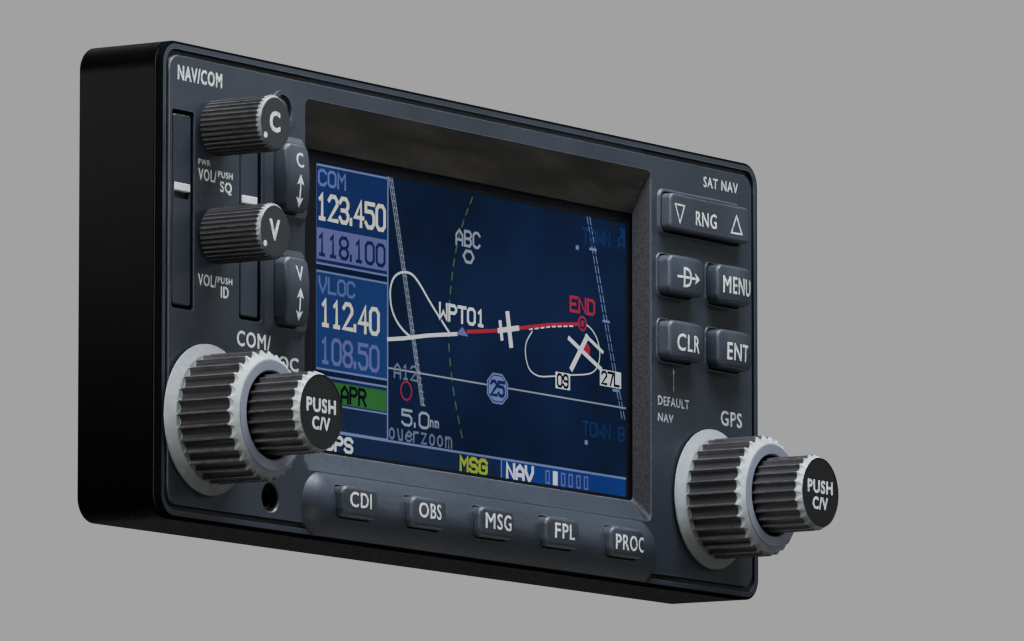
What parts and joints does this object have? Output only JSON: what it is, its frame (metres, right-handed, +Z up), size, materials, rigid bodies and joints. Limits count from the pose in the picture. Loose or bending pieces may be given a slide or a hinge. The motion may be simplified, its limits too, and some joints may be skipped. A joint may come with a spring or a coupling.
{
  "type": "aviation satellite navigation and radio unit",
  "caption": "Shallow panel unit with a wide colour display, stacked turning controls, push keys, a rocker key and two data cards, for aircraft navigation and radio tuning.",
  "frame": {"origin": "centre of the flat back face of the case", "axes": "+X to the right as the pilot sees the front, +Y into the panel and out of the back face, +Z up"},
  "size_m": [0.1588, 0.0342, 0.0672],
  "materials": {
    "case_metal": "fine black powder coat, semi matt",
    "bezel_plastic": "dark slate moulded plastic with a fine grain",
    "seal_rubber": "black",
    "hood_gloss": "gloss black",
    "lens_glass": "clear, anti-glare",
    "display_mask": "matt black",
    "display_panel": "liquid crystal layer, deep blue when lit",
    "light_guide": "clear acrylic",
    "sheet_steel": "thin plated sheet",
    "circuit_board": "green solder mask",
    "component_black": "moulded package",
    "fastener_steel": "blackened steel",
    "brass_parts": "machined",
    "knob_black": "black with light wear on its edges",
    "key_plastic": "dark slate, fine grain",
    "card_plastic": "black, fine grain",
    "tab_white": "white",
    "sensor_window": "smoked",
    "cell_steel": "bright"
  },
  "bodies": {
    "root": {"rear_case": "case_metal", "front_bezel": "bezel_plastic", "bezel_gasket": "seal_rubber", "display_hood": "hood_gloss", "screen_lens": "lens_glass", "screen_surround": "display_mask", "lcd_panel": "display_panel", "lcd_backlight": "light_guide", "lcd_tray": "sheet_steel", "keypad_board": "circuit_board", "key_switches": "component_black", "main_board": "circuit_board", "board_spacers": "fastener_steel", "board_screws": "fastener_steel", "board_chips": "component_black", "receiver_cans": "sheet_steel", "backup_battery": "cell_steel", "light_sensor": "sensor_window", "card_sockets": "component_black", "encoder_bodies": "component_black", "encoder_nuts": "fastener_steel", "volume_controls": "component_black", "range_key_pin": "fastener_steel", "data_connector": "component_black", "antenna_jack": "brass_parts", "mounting_inserts": "brass_parts", "case_screws": "fastener_steel"},
    "left_outer_ring": {"left_outer_shaft": "fastener_steel", "left_outer_knob": "knob_black"},
    "left_plunger": {"left_push_collar": "component_black"},
    "left_inner_dial": {"left_inner_shaft": "fastener_steel", "left_inner_knob": "knob_black"},
    "left_data_card": {"left_card": "card_plastic", "left_card_tab": "tab_white"},
    "right_outer_ring": {"right_outer_shaft": "fastener_steel", "right_outer_knob": "knob_black"},
    "right_plunger": {"right_push_collar": "component_black"},
    "right_inner_dial": {"right_inner_shaft": "fastener_steel", "right_inner_knob": "knob_black"},
    "right_data_card": {"right_card": "card_plastic", "right_card_tab": "tab_white"},
    "com_plunger": {"com_push_collar": "component_black"},
    "com_volume_dial": {"com_volume_shaft": "fastener_steel", "com_volume_knob": "knob_black"},
    "nav_plunger": {"nav_push_collar": "component_black"},
    "nav_volume_dial": {"nav_volume_shaft": "fastener_steel", "nav_volume_knob": "knob_black"},
    "com_flip_key_body": {"com_flip_key": "key_plastic"},
    "nav_flip_key_body": {"nav_flip_key": "key_plastic"},
    "direct_key_body": {"direct_key": "key_plastic"},
    "menu_key_body": {"menu_key": "key_plastic"},
    "clear_key_body": {"clear_key": "key_plastic"},
    "enter_key_body": {"enter_key": "key_plastic"},
    "course_key_body": {"course_key": "key_plastic"},
    "bearing_key_body": {"bearing_key": "key_plastic"},
    "message_key_body": {"message_key": "key_plastic"},
    "plan_key_body": {"plan_key": "key_plastic"},
    "procedure_key_body": {"procedure_key": "key_plastic"},
    "range_key_body": {"range_key": "key_plastic"},
    "lock_screw_body": {"lock_screw": "fastener_steel"}
  },
  "joints": [
    {"name": "left_outer_turn", "type": "hinge", "parent": "root", "child": "left_outer_ring", "pos_m": [-0.0685, -0.0194, -0.0192], "axis": [0, 1, 0], "continuous": true},
    {"name": "left_inner_push", "type": "slide", "parent": "root", "child": "left_plunger", "axis": [0, 1, 0], "range_m": [0, 0.0005], "stiffness_N_per_m": 3000, "springref_m": -0.0004},
    {"name": "left_inner_turn", "type": "hinge", "parent": "left_plunger", "child": "left_inner_dial", "pos_m": [-0.0685, -0.0194, -0.0192], "axis": [0, 1, 0], "continuous": true},
    {"name": "left_card_pull", "type": "slide", "parent": "root", "child": "left_data_card", "axis": [0, -1, 0], "range_m": [0, 0.0085]},
    {"name": "right_outer_turn", "type": "hinge", "parent": "root", "child": "right_outer_ring", "pos_m": [0.065, -0.0194, -0.0192], "axis": [0, 1, 0], "continuous": true},
    {"name": "right_inner_push", "type": "slide", "parent": "root", "child": "right_plunger", "axis": [0, 1, 0], "range_m": [0, 0.0005], "stiffness_N_per_m": 3000, "springref_m": -0.0004},
    {"name": "right_inner_turn", "type": "hinge", "parent": "right_plunger", "child": "right_inner_dial", "pos_m": [0.065, -0.0194, -0.0192], "axis": [0, 1, 0], "continuous": true},
    {"name": "right_card_pull", "type": "slide", "parent": "root", "child": "right_data_card", "axis": [0, -1, 0], "range_m": [0, 0.0085]},
    {"name": "com_volume_push", "type": "slide", "parent": "root", "child": "com_plunger", "axis": [0, 1, 0], "range_m": [0, 0.0005], "stiffness_N_per_m": 3000, "springref_m": -0.0004},
    {"name": "com_volume_turn", "type": "hinge", "parent": "com_plunger", "child": "com_volume_dial", "pos_m": [-0.06705, -0.0194, 0.0222], "axis": [0, 1, 0], "range_deg": [-150, 150]},
    {"name": "nav_volume_push", "type": "slide", "parent": "root", "child": "nav_plunger", "axis": [0, 1, 0], "range_m": [0, 0.0005], "stiffness_N_per_m": 3000, "springref_m": -0.0004},
    {"name": "nav_volume_turn", "type": "hinge", "parent": "nav_plunger", "child": "nav_volume_dial", "pos_m": [-0.06705, -0.0194, 0.0069], "axis": [0, 1, 0], "range_deg": [-150, 150]},
    {"name": "com_flip_press", "type": "slide", "parent": "root", "child": "com_flip_key_body", "axis": [0, 1, 0], "range_m": [0, 0.0006], "stiffness_N_per_m": 1500, "springref_m": -0.0006},
    {"name": "nav_flip_press", "type": "slide", "parent": "root", "child": "nav_flip_key_body", "axis": [0, 1, 0], "range_m": [0, 0.0006], "stiffness_N_per_m": 1500, "springref_m": -0.0006},
    {"name": "direct_press", "type": "slide", "parent": "root", "child": "direct_key_body", "axis": [0, 1, 0], "range_m": [0, 0.0006], "stiffness_N_per_m": 1500, "springref_m": -0.0006},
    {"name": "menu_press", "type": "slide", "parent": "root", "child": "menu_key_body", "axis": [0, 1, 0], "range_m": [0, 0.0006], "stiffness_N_per_m": 1500, "springref_m": -0.0006},
    {"name": "clear_press", "type": "slide", "parent": "root", "child": "clear_key_body", "axis": [0, 1, 0], "range_m": [0, 0.0006], "stiffness_N_per_m": 1500, "springref_m": -0.0006},
    {"name": "enter_press", "type": "slide", "parent": "root", "child": "enter_key_body", "axis": [0, 1, 0], "range_m": [0, 0.0006], "stiffness_N_per_m": 1500, "springref_m": -0.0006},
    {"name": "course_press", "type": "slide", "parent": "root", "child": "course_key_body", "axis": [0, 1, 0], "range_m": [0, 0.0006], "stiffness_N_per_m": 1500, "springref_m": -0.0006},
    {"name": "bearing_press", "type": "slide", "parent": "root", "child": "bearing_key_body", "axis": [0, 1, 0], "range_m": [0, 0.0006], "stiffness_N_per_m": 1500, "springref_m": -0.0006},
    {"name": "message_press", "type": "slide", "parent": "root", "child": "message_key_body", "axis": [0, 1, 0], "range_m": [0, 0.0006], "stiffness_N_per_m": 1500, "springref_m": -0.0006},
    {"name": "plan_press", "type": "slide", "parent": "root", "child": "plan_key_body", "axis": [0, 1, 0], "range_m": [0, 0.0006], "stiffness_N_per_m": 1500, "springref_m": -0.0006},
    {"name": "procedure_press", "type": "slide", "parent": "root", "child": "procedure_key_body", "axis": [0, 1, 0], "range_m": [0, 0.0006], "stiffness_N_per_m": 1500, "springref_m": -0.0006},
    {"name": "range_tilt", "type": "hinge", "parent": "root", "child": "range_key_body", "pos_m": [0.0623, -0.0115, 0.02345], "axis": [0, 0, 1], "range_deg": [-3.5, 3.5], "stiffness_Nm_per_rad": 0.18},
    {"name": "lock_screw_turn", "type": "hinge", "parent": "root", "child": "lock_screw_body", "pos_m": [-0.05225, -0.0094, -0.0287], "axis": [0, 1, 0], "continuous": true}
  ]
}
